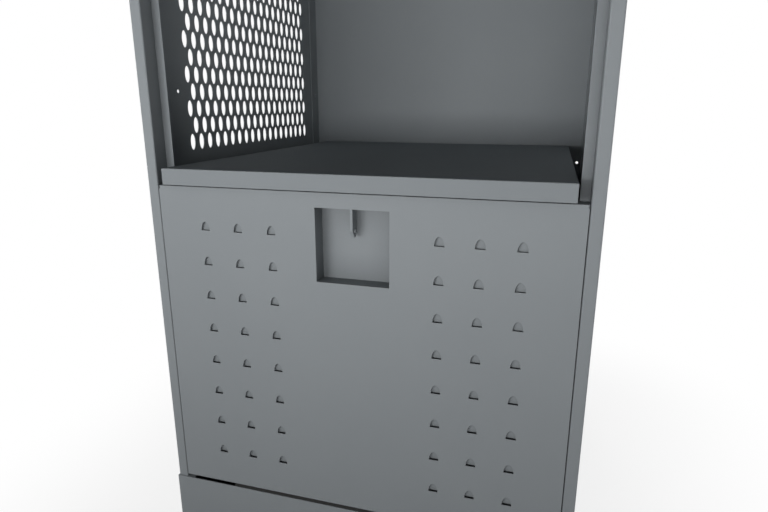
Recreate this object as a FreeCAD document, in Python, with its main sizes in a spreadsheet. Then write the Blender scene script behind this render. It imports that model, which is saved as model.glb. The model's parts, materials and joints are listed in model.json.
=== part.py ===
import FreeCAD, Part
import math
import os
from types import SimpleNamespace

import Sketcher
from FreeCAD import Placement, Rotation, Vector

# Open-front gear locker with a louvred foot locker under a hinged seat lid.
# Millimetres, +Z up, +X to the right, open front towards -Y.
# The origin is on the floor, under the centre of the locker's box.

SIZES = {
    # Carcass
    "width": 609.6,
    "height": 1828.8,
    "depth": 618.2,
    "frame_sheet": 1.5,
    "body_sheet": 1.2,
    "bend_inside": 0.5,
    "fit": 0.3,
    "snug_fit": 0.05,
    # Front uprights
    "face_width": 16.0,
    "return_depth": 24.4,
    "strike_width": 11.8,
    "upright_leg": 45.0,
    # Side and back panels
    "side_setback": 6.0,
    "back_flange": 36.6,
    "oval_width": 12.6,
    "oval_height": 24.6,
    "oval_pitch": 23.6,
    "oval_row_pitch": 25.4,
    "oval_front_gap": 26.6,
    "oval_rear_gap": 60.0,
    "oval_lift": 28.0,
    "oval_head_gap": 30.0,
    "join_hole": 5.5,
    "join_front": 84.6,
    "join_rear": 17.4,
    "join_lift": 104.0,
    "join_drop": 208.6,
    "wall_hole_inset": 11.1,
    "wall_hole_lower": 36.0,
    "wall_hole_upper": 196.2,
    # Top panel, header and floor of the foot locker
    "top_flange": 20.0,
    "header_height": 45.0,
    "floor_flange": 18.0,
    # Base frame
    "base_height": 101.6,
    "base_flange": 25.0,
    "base_bolt": 8.0,
    "base_bolt_inset": 100.0,
    "base_bolt_length": 17.2,
    "bolt_head": 5.0,
    "bolt_head_width": 16.0,
    "bolt_head_round": 1.6,
    "base_nut": 13.0,
    "base_nut_height": 6.5,
    # Front panel, its louvres and the padlock pocket
    "reveal": 0.8,
    "panel_gap": 5.0,
    "panel_height": 470.2,
    "corner_relief": 1.6,
    "corner_relief_height": 4.8,
    "louvre_width": 13.0,
    "louvre_rise": 12.5,
    "louvre_depth": 4.2,
    "louvre_round": 1.4,
    "louvre_pitch": 50.8,
    "louvre_first": 115.6,
    "louvre_side_gap": 45.0,
    "louvre_drop": 61.1,
    "louvre_foot_gap": 45.0,
    "pocket_width": 102.0,
    "pocket_height": 101.6,
    "pocket_depth": 25.2,
    "pocket_drop": 20.2,
    "pocket_flange": 10.0,
    # Seat lid
    "lid_side_gap": 3.4,
    "lid_sheet": 1.5,
    "lid_edge": 1.2,
    "lid_gap": 2.5,
    "lip_overhang": 9.2,
    "lip_height": 22.5,
    "stiffener_offset": 140.0,
    "stiffener_width": 30.0,
    "stiffener_flange": 12.0,
    "stiffener_setback": 20.0,
    "bumper_diameter": 14.0,
    "bumper_stem": 5.0,
    "bumper_stem_length": 4.0,
    "bumper_gap": 0.2,
    "bumper_round": 0.6,
    # Hasp tongue on the lid
    "tongue_sheet": 3.4,
    "tongue_offset": 2.1,
    "tongue_gap": 4.0,
    "tongue_width": 15.6,
    "tongue_length": 60.2,
    "tongue_foot": 26.0,
    "front_shoulder": 10.1,
    "rear_shoulder": 5.8,
    "tip_setback": 8.2,
    "tip_width": 2.6,
    "eye_diameter": 7.0,
    "eye_setback": 9.2,
    "eye_lift": 7.8,
    "slot_play": 1.2,
    # Lid hinge and the rail that carries it
    "hinge_pin": 3.2,
    "hinge_leaf": 1.2,
    "knuckle_pitch": 40.0,
    "hinge_inset": 10.0,
    "knuckle_play": 0.4,
    "hinge_drop": 4.5,
    "leaf_margin": 0.25,
    "rail_leaf_height": 22.0,
    "rail_depth": 10.4,
    "rail_height": 30.0,
    "rail_foot": 26.0,
    "rivet_count": 6,
    "rivet_diameter": 3.2,
    "rivet_head": 5.6,
    "rivet_head_height": 1.0,
    # Hat shelf, coat rod and hooks
    "hat_space": 304.8,
    "shelf_flange": 20.0,
    "shelf_setback": 14.0,
    "clip_leg": 20.0,
    "clip_length": 40.0,
    "clip_inset": 60.0,
    "rod_diameter": 25.4,
    "rod_wall": 1.5,
    "rod_end_gap": 38.6,
    "rod_drop": 66.0,
    "hanger_sheet": 2.0,
    "hanger_width": 40.0,
    "hanger_foot": 26.0,
    "hanger_inset": 12.0,
    "hanger_screw_spacing": 20.0,
    "cap_flange": 2.0,
    "cap_depth": 12.0,
    "hook_count": 3,
    "hook_spacing": 150.0,
    "hook_drop": 140.0,
    "hook_plate_width": 22.0,
    "hook_plate_height": 56.0,
    "hook_plate_sheet": 2.5,
    "hook_wire": 7.0,
    "hook_reach": 40.0,
    "hook_rise": 22.0,
    "hook_bend": 10.5,
    "hook_ball": 12.0,
    "hook_screw_spacing": 37.4,
    "screw_diameter": 4.0,
    "screw_head": 8.0,
    "screw_head_height": 2.2,
    "screw_head_round": 1.1,
    "screw_tail": 2.0,
}


class Size:
    """A number together with the spreadsheet expression that gives it."""

    def __init__(self, value, text):
        self.value = value
        self.text = text

    def __add__(self, other):
        other = as_size(other)
        return Size(self.value + other.value, f"({self.text} + {other.text})")

    def __sub__(self, other):
        other = as_size(other)
        return Size(self.value - other.value, f"({self.text} - {other.text})")

    def __rsub__(self, other):
        return as_size(other) - self

    def __mul__(self, other):
        other = as_size(other)
        return Size(self.value * other.value, f"({self.text} * {other.text})")

    def __truediv__(self, other):
        other = as_size(other)
        return Size(self.value / other.value, f"({self.text} / {other.text})")

    def __neg__(self):
        return Size(-self.value, f"(-1 * {self.text})")

    __radd__ = __add__
    __rmul__ = __mul__


def as_size(number):
    """A plain number as a Size, so that both mix in one sum."""
    return number if isinstance(number, Size) else Size(number, str(number))


doc = FreeCAD.newDocument("gear_locker")
sheet = doc.addObject("Spreadsheet::Sheet", "Sizes")
for row, (name, number) in enumerate(SIZES.items(), 1):
    sheet.set(f"A{row}", name)
    sheet.set(f"B{row}", str(number))
    sheet.setAlias(f"B{row}", name)
doc.recompute()
d = SimpleNamespace(**{name: Size(number, f"Sizes.{name}") for name, number in SIZES.items()})

# Places worked out from the sizes
half_width = d.width / 2
front = (d.lip_overhang - d.depth - d.frame_sheet) / 2
rear = front + d.depth
back_face = rear - d.body_sheet
wall_outer = half_width - d.frame_sheet
wall_inner = wall_outer - d.body_sheet
flange_inner = wall_inner - d.body_sheet
face_inner = half_width - d.face_width
strike_edge = face_inner - d.strike_width
strike = front + d.return_depth
behind_strike = strike + d.frame_sheet
body_top = d.height - d.body_sheet
bend_outside = d.bend_inside + d.frame_sheet
edge_round = d.body_sheet / 2
inner_half = flange_inner - d.fit
panel_half = face_inner - d.reveal
panel_bottom = d.base_height + d.panel_gap
panel_top = panel_bottom + d.panel_height
pocket_top = panel_top - d.pocket_drop
pocket_bottom = pocket_top - d.pocket_height
pocket_half = d.pocket_width / 2
pocket_face = front + d.body_sheet
pocket_floor = front + d.pocket_depth
lip_bottom = panel_top + d.lid_gap
lid_top = lip_bottom + d.lip_height
lid_under = lid_top - d.lid_sheet
lid_half = strike_edge - d.lid_side_gap
lid_front = front - d.lip_overhang
knuckle_radius = d.hinge_pin / 2 + d.hinge_leaf
rail_front = back_face - d.rail_depth
hinge_y = rail_front - d.fit - knuckle_radius
hinge_z = lid_top - d.hinge_drop
hinge_clear = knuckle_radius + 2 * d.fit
lid_rear = hinge_y - d.fit - knuckle_radius
lid_flange_bottom = hinge_z - hinge_clear - d.rivet_head - 2 * d.leaf_margin
knuckle_count = 2 * int((lid_half - d.hinge_inset).value / d.knuckle_pitch.value - 0.5) + 1
hinge_half = d.knuckle_pitch * knuckle_count / 2
shelf_top = d.height - d.hat_space
shelf_under = shelf_top - d.body_sheet
shelf_bottom = shelf_top - d.shelf_flange
shelf_front = front + d.return_depth + d.shelf_setback
shelf_rear = back_face - d.fit
rod_y = (shelf_front + shelf_rear) / 2
rod_z = shelf_top - d.rod_drop
rod_half = inner_half - d.rod_end_gap
hanger_x = rod_half - d.hanger_inset
hook_z = shelf_top - d.hook_drop

nodes = []


def node(label, item):
    """Names a finished piece, which is written to a file of that name."""
    item.Label = label
    nodes.append(item)
    return item


def slab(x, y, z):
    """A box between two limits on each axis."""
    item = doc.addObject("Part::Box", "slab")
    for axis, size, limits in zip("xyz", ("Length", "Width", "Height"), (x, y, z)):
        low, high = (as_size(limit) for limit in limits)
        item.setExpression(size, (high - low).text)
        item.setExpression(f"Placement.Base.{axis}", low.text)
    return item


TURNS = {
    "x": Rotation(Vector(0, 1, 0), 90),
    "y": Rotation(Vector(1, 0, 0), -90),
    "z": Rotation(),
}


def rod(axis, radius, centre, ends):
    """A cylinder along an axis between two ends, centred on the other two axes in order."""
    low, high = (as_size(end) for end in ends)
    item = doc.addObject("Part::Cylinder", "rod")
    item.Placement = Placement(Vector(), TURNS[axis])
    item.setExpression("Radius", radius.text)
    item.setExpression("Height", (high - low).text)
    others = [name for name in "xyz" if name != axis]
    for name, place in zip([axis] + others, (low, *centre)):
        item.setExpression(f"Placement.Base.{name}", as_size(place).text)
    return item


def join(*items):
    """One solid from pieces that touch, or one tool from pieces apart."""
    item = doc.addObject("Part::MultiFuse", "joined")
    item.Shapes = list(items)
    item.Refine = True
    return item


def cut(base, *tools):
    """The base with the tools taken out of it."""
    item = doc.addObject("Part::Cut", "cut")
    item.Base = base
    item.Tool = tools[0] if len(tools) == 1 else join(*tools)
    item.Refine = True
    return item


def group(*items):
    """Separate solids that share a node."""
    item = doc.addObject("Part::Compound", "group")
    item.Links = list(items)
    return item


def formed(shape):
    """A piece whose shape is made by a function."""
    item = doc.addObject("Part::Feature", "formed")
    item.Shape = shape
    return item


def runs_along(axis, **places):
    """A test for straight edges along an axis at given places on the other axes."""

    def test(edge):
        ends = [vertex.Point for vertex in edge.Vertexes]
        if len(ends) != 2:
            return False
        step = ends[1] - ends[0]
        straight = abs(getattr(step, axis)) > 0.99 * step.Length
        return straight and all(
            abs(getattr(ends[0], name) - as_size(place).value) < 1e-3 for name, place in places.items()
        )

    return test


def runs_round(level):
    """A test for round edges at one height."""

    def test(edge):
        box = edge.BoundBox
        return box.ZLength < 1e-6 and abs(box.ZMax - level.value) < 1e-3

    return test


def round_off(base, radius, *tests):
    """Rounds the edges of a piece that pass any of the tests."""
    doc.recompute()
    item = doc.addObject("Part::Fillet", "rounded")
    item.Base = base
    item.Edges = [
        (number, radius.value, radius.value)
        for number, edge in enumerate(base.Shape.Edges, 1)
        if any(test(edge) for test in tests)
    ]
    return item


def mirrored(sign, low, high):
    """Limits on X for the right side, turned round for the left."""
    return (low, high) if sign > 0 else (-high, -low)


def bent_strip(label, plane, corners, start, length, bends=()):
    """A body padded from a closed profile, with its bends rounded.

    The corners are in the sketch's own axes, start is the profile's distance from the plane,
    and each bend is a corner's number and its radius.
    """
    body = doc.addObject("PartDesign::Body", label)
    sketch = body.newObject("Sketcher::SketchObject", f"{label}_profile")
    support = next(item for item in body.Origin.OriginFeatures if item.Role == plane)
    sketch.AttachmentSupport = (support, [""])
    sketch.MapMode = "FlatFace"
    sketch.setExpression("AttachmentOffset.Base.z", as_size(start).text)
    points = [Vector(u.value, v.value, 0) for u, v in corners]
    following = points[1:] + points[:1]
    for near, far in zip(points, following):
        sketch.addGeometry(Part.LineSegment(near, far))
    for number in range(len(points)):
        sketch.addConstraint(Sketcher.Constraint("Coincident", number, 2, (number + 1) % len(points), 1))
    for number, corner in enumerate(corners):
        for kind, size in zip(("DistanceX", "DistanceY"), corner):
            place = sketch.addConstraint(Sketcher.Constraint(kind, -1, 1, number, 1, size.value))
            sketch.setExpression(f"Constraints[{place}]", size.text)
    pad = body.newObject("PartDesign::Pad", f"{label}_pad")
    pad.Profile = sketch
    pad.setExpression("Length", length.text)
    doc.recompute()
    tip = pad
    across = {"XY_Plane": ("z", "xy"), "YZ_Plane": ("x", "yz")}[plane]
    for radius in {radius.text: radius for _, radius in bends}.values():
        corner_tests = [
            runs_along(across[0], **dict(zip(across[1], corners[number])))
            for number, size in bends
            if size.text == radius.text
        ]
        fillet = body.newObject("PartDesign::Fillet", f"{label}_bend")
        names = [
            f"Edge{number}"
            for number, edge in enumerate(tip.Shape.Edges, 1)
            if any(test(edge) for test in corner_tests)
        ]
        fillet.Base = (tip, names)
        fillet.setExpression("Radius", radius.text)
        doc.recompute()
        tip = fillet
    return body


# Front uprights: a channel whose inner return ends in a strike flange
def upright(sign, label):
    """Frame member with an outer leg, a front face, a return and a strike flange."""
    sheet_inner = front + d.frame_sheet
    leg_end = front + d.upright_leg
    right = [
        (half_width, front),
        (half_width, leg_end),
        (wall_outer, leg_end),
        (wall_outer, sheet_inner),
        (face_inner + d.frame_sheet, sheet_inner),
        (face_inner + d.frame_sheet, behind_strike),
        (strike_edge, behind_strike),
        (strike_edge, strike),
        (face_inner, strike),
        (face_inner, front),
    ]
    corners = [(x if sign > 0 else -x, y) for x, y in right]
    bends = [(number, bend_outside) for number in (0, 5, 9)]
    bends += [(number, d.bend_inside) for number in (3, 4, 8)]
    return bent_strip(label, "XY_Plane", corners, d.base_height, body_top - d.base_height, bends)


node("left_front_upright", upright(-1, "left_front_upright"))
node("right_front_upright", upright(1, "right_front_upright"))


# Side panels: one sheet with oval perforations and holes for joining lockers
join_ys = (front + d.join_front, rear - d.join_rear)
join_zs = (lid_top + d.join_lift, d.height - d.join_drop)


def copies_in(room, pitch):
    """How many copies at a pitch fit from the start to the end of a room."""
    return int(room.value / pitch.value) + 1


def oval(y, z):
    """An upright ellipse on the plane x = 0."""
    centre = Vector(0, y, z)
    top = centre + Vector(0, 0, d.oval_height.value / 2)
    side = centre + Vector(0, d.oval_width.value / 2, 0)
    return Part.Wire(Part.Ellipse(top, side, centre).toShape())


def perforations():
    """Rows of ovals in which every second row is shifted by half a pitch and has one less."""
    wires = []
    first_y = (join_ys[0] + d.oval_front_gap).value
    first_z = (lid_top + d.oval_lift).value
    columns = copies_in(join_ys[1] - d.oval_rear_gap - first_y, d.oval_pitch)
    rows = copies_in(shelf_bottom - d.oval_head_gap - first_z, d.oval_row_pitch)
    for row in range(rows):
        odd = row % 2
        for column in range(columns - odd):
            y = first_y + (column + odd / 2) * d.oval_pitch.value
            wires.append(oval(y, first_z + row * d.oval_row_pitch.value))
    return wires


def side_panel(sign):
    """A flat holed face, extruded by the thickness of the sheet."""
    low_y = (front + d.side_setback).value
    outline = [
        Vector(0, low_y, d.base_height.value),
        Vector(0, rear.value, d.base_height.value),
        Vector(0, rear.value, body_top.value),
        Vector(0, low_y, body_top.value),
    ]
    face = Part.Face(Part.makePolygon(outline + outline[:1]))
    circles = [
        Part.Wire(Part.Circle(Vector(0, y.value, z.value), Vector(1, 0, 0), d.join_hole.value / 2).toShape())
        for y in join_ys
        for z in join_zs
    ]
    face.cutHoles(perforations() + circles)
    face.validate()
    panel = formed(face.extrude(Vector(d.body_sheet.value, 0, 0)))
    low, _ = mirrored(sign, wall_inner, wall_outer)
    panel.Placement = Placement(Vector(low.value, 0, 0), Rotation())
    return panel


node("left_side_panel", side_panel(-1))
node("right_side_panel", side_panel(1))

# Back panel: a sheet with a flange turned forward along each side panel
back_wrap = rear - d.back_flange
back_corners = [
    (-wall_inner, rear),
    (-wall_inner, back_wrap),
    (-flange_inner, back_wrap),
    (-flange_inner, back_face),
    (flange_inner, back_face),
    (flange_inner, back_wrap),
    (wall_inner, back_wrap),
    (wall_inner, rear),
]
back_sheet = bent_strip(
    "back_sheet",
    "XY_Plane",
    back_corners,
    d.base_height,
    body_top - d.base_height,
    [(number, d.bend_inside + d.body_sheet) for number in (0, 7)],
)
wall_hole_x = half_width - d.wall_hole_inset
wall_hole_zs = (lid_top - d.wall_hole_lower, d.height - d.wall_hole_upper)
through_back = (back_face - d.body_sheet, rear + d.body_sheet)
across_locker = (-half_width, half_width)
back_holes = [
    rod("y", d.join_hole / 2, (x, z), through_back)
    for x in (-wall_hole_x, wall_hole_x)
    for z in wall_hole_zs
]
back_holes += [rod("x", d.join_hole / 2, (join_ys[1], z), across_locker) for z in join_zs]
node("back_panel", cut(back_sheet, *back_holes))

# Top panel: a cap with flanges turned down inside the sides and the back
top_skirt = (body_top - d.top_flange, body_top)
top_run = (behind_strike + d.fit, back_wrap - d.fit)
top_sheet = slab(across_locker, (front, rear), (body_top, d.height))
top_sides = [slab(mirrored(sign, flange_inner, wall_inner), top_run, top_skirt) for sign in (-1, 1)]
top_back = slab((-inner_half, inner_half), (back_face - d.body_sheet, back_face), top_skirt)
top_cap = join(top_sheet, *top_sides, top_back)
cap_edges = [runs_along("x", y=front, z=d.height), runs_along("x", y=rear, z=d.height)]
cap_edges += [runs_along("y", x=x, z=d.height) for x in across_locker]
node("top_panel", round_off(top_cap, edge_round, *cap_edges))

# Front header: a channel between the uprights, seated on their strike flanges
header_bottom = body_top - d.header_height
header_corners = [
    (front, body_top),
    (front, header_bottom),
    (strike, header_bottom),
    (strike, header_bottom + d.frame_sheet),
    (front + d.frame_sheet, header_bottom + d.frame_sheet),
    (front + d.frame_sheet, body_top - d.frame_sheet),
    (strike, body_top - d.frame_sheet),
    (strike, body_top),
]
header_bends = [(number, bend_outside) for number in (0, 1)]
header_bends += [(number, d.bend_inside) for number in (4, 5)]
node(
    "front_header",
    bent_strip("front_header", "YZ_Plane", header_corners, -panel_half, 2 * panel_half, header_bends),
)

# Base frame: four rails with flanges turned in, on which the carcass stands
base_outer = half_width + d.frame_sheet
base_inner = base_outer - d.base_flange
base_front = front - d.frame_sheet
base_rear = rear + d.frame_sheet
base_round = d.frame_sheet / 2
base_levels = ((0, d.frame_sheet), (d.base_height - d.frame_sheet, d.base_height))
base_bolt_ys = (front + d.base_bolt_inset, rear - d.base_bolt_inset)
base_bolt_x = base_inner + d.base_bolt
base_bolt_places = [(x, y) for x in (-base_bolt_x, base_bolt_x) for y in base_bolt_ys]
through_floor = (d.base_height - 2 * d.frame_sheet, d.base_height + 2 * d.frame_sheet)


def bolt_holes():
    """Clearance holes for the bolts between the floor and the base frame."""
    return [rod("z", d.base_bolt / 2 + d.fit, place, through_floor) for place in base_bolt_places]


def cross_rail(face, flange, outside, top_runs):
    """A front or rear rail over the whole width, with a top flange along these runs."""
    bottom_level, top_level = base_levels
    plate = slab((-base_outer, base_outer), face, (0, d.base_height))
    bottom_flange = slab((-half_width, half_width), flange, bottom_level)
    top_flanges = [slab(run, flange, top_level) for run in top_runs]
    top_edge = runs_along("x", y=outside, z=d.base_height)
    return round_off(join(plate, bottom_flange, *top_flanges), base_round, top_edge)


def side_rail(sign):
    """A rail between the front and rear rails."""
    plate = slab(mirrored(sign, half_width, base_outer), (front, rear), (0, d.base_height))
    run = (base_front + d.base_flange, base_rear - d.base_flange)
    flanges = [slab(mirrored(sign, base_inner, half_width), run, level) for level in base_levels]
    top_edge = runs_along("y", x=sign * base_outer, z=d.base_height)
    return cut(round_off(join(plate, *flanges), base_round, top_edge), *bolt_holes())


kick_flange = (front, base_front + d.base_flange)
kick_tabs = [mirrored(sign, strike_edge, half_width) for sign in (-1, 1)]
node("kick_plate", cross_rail((base_front, front), kick_flange, base_front, kick_tabs))
rear_flange = (base_rear - d.base_flange, rear)
rear_run = (-half_width, half_width)
node("rear_base_rail", cross_rail((rear, base_rear), rear_flange, base_rear, [rear_run]))
node("left_base_rail", side_rail(-1))
node("right_base_rail", side_rail(1))

# Floor of the foot locker: a pan behind the front panel, bolted to the base frame
floor_top = d.base_height + d.body_sheet
floor_level = (d.base_height, floor_top)
floor_run = (behind_strike + d.fit, back_face)
floor_plate = slab((-inner_half, inner_half), floor_run, floor_level)
floor_wall = (d.base_height, d.base_height + d.floor_flange)
floor_sides = [
    slab(mirrored(sign, inner_half - d.body_sheet, inner_half), floor_run, floor_wall)
    for sign in (-1, 1)
]
floor_front = slab((-inner_half, inner_half), (floor_run[0], floor_run[0] + d.body_sheet), floor_wall)
floor_back = slab((-inner_half, inner_half), (back_face - d.body_sheet, back_face), floor_wall)
floor_pan = join(floor_plate, *floor_sides, floor_front, floor_back)
node("foot_locker_floor", cut(floor_pan, *bolt_holes()))


def base_bolt(place):
    """A round-headed bolt whose head is on the floor and whose end passes the nut."""
    head_top = floor_top + d.bolt_head
    shank = rod("z", d.base_bolt / 2, place, (floor_top - d.base_bolt_length, floor_top))
    head = rod("z", d.bolt_head_width / 2, place, (floor_top, head_top))
    return round_off(join(shank, head), d.bolt_head_round, runs_round(head_top))


def base_nut(place):
    """A hexagon nut under the base frame's flange."""
    x, y = place
    prism = doc.addObject("Part::Prism", "nut")
    prism.Polygon = 6
    prism.setExpression("Circumradius", (d.base_nut / math.sqrt(3)).text)
    prism.setExpression("Height", d.base_nut_height.text)
    prism.setExpression("Placement.Base.x", x.text)
    prism.setExpression("Placement.Base.y", y.text)
    prism.setExpression("Placement.Base.z", (d.base_height - d.frame_sheet - d.base_nut_height).text)
    bore = rod("z", d.base_bolt / 2 + d.snug_fit, place, (0, d.base_height))
    return cut(prism, bore)


node("base_bolts", group(*[base_bolt(place) for place in base_bolt_places]))
node("base_nuts", group(*[base_nut(place) for place in base_bolt_places]))

# Front panel: a pan between the uprights with rows of louvres pressed inwards
panel_front_face = (front, front + d.body_sheet)
panel_depth = (front, strike)
panel_height = (panel_bottom, panel_top)
panel_plate = slab((-panel_half, panel_half), panel_front_face, panel_height)
panel_walls = [
    slab(mirrored(sign, panel_half - d.body_sheet, panel_half), panel_depth, panel_height)
    for sign in (-1, 1)
]
panel_ceiling = slab((-panel_half, panel_half), panel_depth, (panel_top - d.body_sheet, panel_top))
panel_sill = slab((-panel_half, panel_half), panel_depth, (panel_bottom, panel_bottom + d.body_sheet))
panel_pan = round_off(
    join(panel_plate, *panel_walls, panel_ceiling, panel_sill),
    edge_round,
    runs_along("x", y=front, z=panel_top),
    runs_along("x", y=front, z=panel_bottom),
    runs_along("z", x=panel_half, y=front),
    runs_along("z", x=-panel_half, y=front),
)


def half_moon(grow, near):
    """A prism over a half ellipse that stands on the louvre's cut edge, with its far rim rounded.

    It runs from near to the louvre's depth behind the panel's face. All of it is larger by grow,
    so that two of them leave a sheet between them.
    """
    half = (d.louvre_width / 2 + grow).value
    rise = (d.louvre_rise + grow).value
    depth = (front + d.louvre_depth + grow - near).value
    crown = Vector(0, 0, rise)
    foot = Vector(half, 0, 0)
    major, minor, first = (crown, foot, -math.pi / 2) if rise > half else (foot, crown, 0)
    arc = Part.ArcOfEllipse(Part.Ellipse(major, minor, Vector()), first, first + math.pi).toShape()
    base = Part.makeLine(-foot, foot)
    solid = Part.Face(Part.Wire(Part.__sortEdges__([arc, base]))).extrude(Vector(0, depth, 0))
    far_edges = [edge for edge in solid.Edges if edge.BoundBox.YMin > depth / 2]
    rim = [edge for edge in far_edges if edge.BoundBox.ZMax > rise / 2]
    rounded = solid.makeFillet((d.louvre_round + grow).value, rim)
    return rounded.translated(Vector(0, near.value, 0))


def louvre_places():
    """The middle of each louvre's cut edge, in two mirrored blocks of columns."""
    columns = copies_in(panel_half - d.louvre_first - d.louvre_side_gap, d.louvre_pitch)
    rows = copies_in(d.panel_height - d.louvre_drop - d.louvre_foot_gap, d.louvre_pitch)
    for sign in (-1, 1):
        for column in range(columns):
            x = sign * (d.louvre_first + column * d.louvre_pitch)
            for row in range(rows):
                z = panel_top - d.louvre_drop - row * d.louvre_pitch
                yield Vector(x.value, 0, z.value)


def louvres(shape):
    """Copies of one form at every louvre's place."""
    return formed(Part.makeCompound([shape.translated(place) for place in louvre_places()]))


inner_louvre = half_moon(0, front - d.fit)
outer_louvre = half_moon(d.body_sheet, front + edge_round)
through_face = (front - d.fit, front + 2 * d.body_sheet)
through_ceiling = (panel_top - 2 * d.body_sheet, panel_top + d.fit)
pocket_hole = slab((-pocket_half, pocket_half), through_face, (pocket_bottom, pocket_top))
tongue_left = -d.tongue_offset - d.tongue_sheet / 2
tongue_right = tongue_left + d.tongue_sheet
tongue_rear = pocket_floor - d.tongue_gap
tongue_front = tongue_rear - d.tongue_width
slot_width = (tongue_left - d.slot_play, tongue_right + d.slot_play)
slot_run = (pocket_face, tongue_rear + d.slot_play)
panel_slot = slab(slot_width, slot_run, through_ceiling)
relief_drop = (panel_top - d.corner_relief_height, panel_top + d.fit)
reliefs = [
    slab(mirrored(sign, panel_half - d.corner_relief, panel_half + d.fit), through_face, relief_drop)
    for sign in (-1, 1)
]
bumper_y = front + d.return_depth / 2
bumper_xs = (-d.stiffener_offset, d.stiffener_offset)
bumper_bore = d.bumper_stem / 2 + d.snug_fit
bumper_holes = [rod("z", bumper_bore, (x, bumper_y), through_ceiling) for x in bumper_xs]
louvred_pan = join(panel_pan, louvres(outer_louvre))
node(
    "front_panel",
    cut(louvred_pan, louvres(inner_louvre), pocket_hole, panel_slot, *reliefs, *bumper_holes),
)

# Padlock pocket: a box behind the panel's hole, with a slot for the lid's tongue
pocket_shell = slab(
    (-pocket_half - d.body_sheet, pocket_half + d.body_sheet),
    (pocket_face, pocket_floor + d.body_sheet),
    (pocket_bottom - d.body_sheet, pocket_top + d.body_sheet),
)
pocket_rim = slab(
    (-pocket_half - d.pocket_flange, pocket_half + d.pocket_flange),
    (pocket_face, pocket_face + d.body_sheet),
    (pocket_bottom - d.pocket_flange, pocket_top + d.pocket_flange),
)
pocket_space = slab((-pocket_half, pocket_half), (front, pocket_floor), (pocket_bottom, pocket_top))
through_rim = (pocket_top - d.fit, pocket_top + d.pocket_flange + d.fit)
pocket_slot = slab(slot_width, slot_run, through_rim)
node("padlock_pocket", cut(join(pocket_shell, pocket_rim), pocket_space, pocket_slot))

# Seat lid: a top sheet with a deep front lip and shallower side and rear flanges
lid_sheet_top = slab((-lid_half, lid_half), (lid_front, lid_rear), (lid_under, lid_top))
lid_lip = slab((-lid_half, lid_half), (lid_front, lid_front + d.lid_sheet), (lip_bottom, lid_top))
lid_drop = (lid_flange_bottom, lid_top)
lid_sides = [
    slab(mirrored(sign, lid_half - d.lid_sheet, lid_half), (lid_front, lid_rear), lid_drop)
    for sign in (-1, 1)
]
lid_back = slab((-lid_half, lid_half), (lid_rear - d.lid_sheet, lid_rear), lid_drop)
lid_pan = round_off(
    join(lid_sheet_top, lid_lip, *lid_sides, lid_back),
    d.lid_edge,
    runs_along("x", y=lid_front, z=lid_top),
    runs_along("x", y=lid_rear, z=lid_top),
    runs_along("y", x=lid_half, z=lid_top),
    runs_along("y", x=-lid_half, z=lid_top),
)
rivet_count = int(d.rivet_count.value)
rivet_xs = [hinge_half * ((2 * number + 1) / rivet_count - 1) for number in range(rivet_count)]
lid_rivet_z = lid_flange_bottom + d.leaf_margin + d.rivet_head / 2
rivet_bore = d.rivet_diameter / 2 + d.snug_fit


def rivet_holes(z, span):
    """Holes for a row of hinge rivets."""
    return [rod("y", rivet_bore, (x, z), span) for x in rivet_xs]


lid_rivet_span = (lid_rear - d.lid_sheet - d.fit, lid_rear + d.hinge_leaf + d.fit)
node("seat_lid", cut(lid_pan, *rivet_holes(lid_rivet_z, lid_rivet_span)))


def stiffener(centre):
    """A hat channel under the lid, from front to back."""
    run = (front + d.fit, lid_rear - d.stiffener_setback)
    half = d.stiffener_width / 2
    web = slab((centre - half, centre + half), run, (lip_bottom, lip_bottom + d.body_sheet))
    left = slab((centre - half, centre - half + d.body_sheet), run, (lip_bottom, lid_under))
    right = slab((centre + half - d.body_sheet, centre + half), run, (lip_bottom, lid_under))
    ledge = (lid_under - d.body_sheet, lid_under)
    left_ledge = slab((centre - half - d.stiffener_flange, centre - half + d.body_sheet), run, ledge)
    right_ledge = slab((centre + half - d.body_sheet, centre + half + d.stiffener_flange), run, ledge)
    return join(web, left, right, left_ledge, right_ledge)


node("left_lid_stiffener", stiffener(-d.stiffener_offset))
node("right_lid_stiffener", stiffener(d.stiffener_offset))


def bumper(x):
    """A rubber button under a stiffener, with a stem pressed through the panel's flange."""
    button_top = lip_bottom - d.bumper_gap
    button = rod("z", d.bumper_diameter / 2, (x, bumper_y), (panel_top, button_top))
    stem = rod("z", d.bumper_stem / 2, (x, bumper_y), (panel_top - d.bumper_stem_length, panel_top))
    return round_off(join(button, stem), d.bumper_round, runs_round(button_top))


node("lid_bumpers", group(*[bumper(x) for x in bumper_xs]))

# Hasp tongue: a plate hung from the lid, with a pointed head and an eye for a padlock
tongue_tip = panel_top - d.tongue_length
tip_front = tongue_front + d.tip_setback
tongue_corners = [
    (tongue_front, lid_under),
    (tongue_front, tongue_tip + d.front_shoulder),
    (tip_front, tongue_tip),
    (tip_front + d.tip_width, tongue_tip),
    (tongue_rear, tongue_tip + d.rear_shoulder),
    (tongue_rear, lid_under),
]
tongue = bent_strip("tongue_plate", "YZ_Plane", tongue_corners, tongue_left, d.tongue_sheet)
foot = slab(
    (tongue_left, tongue_left + d.tongue_foot),
    (tongue_front, tongue_rear),
    (lid_under - d.tongue_sheet, lid_under),
)
eye_place = (tongue_front + d.eye_setback, tongue_tip + d.eye_lift)
eye = rod("x", d.eye_diameter / 2, eye_place, (tongue_left - d.fit, tongue_right + d.fit))
node("hasp_tongue", cut(join(tongue, foot), eye))

# Lid hinge: two leaves with knuckles in turn on one pin
knuckle_bore = d.hinge_pin / 2 + d.snug_fit


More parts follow.
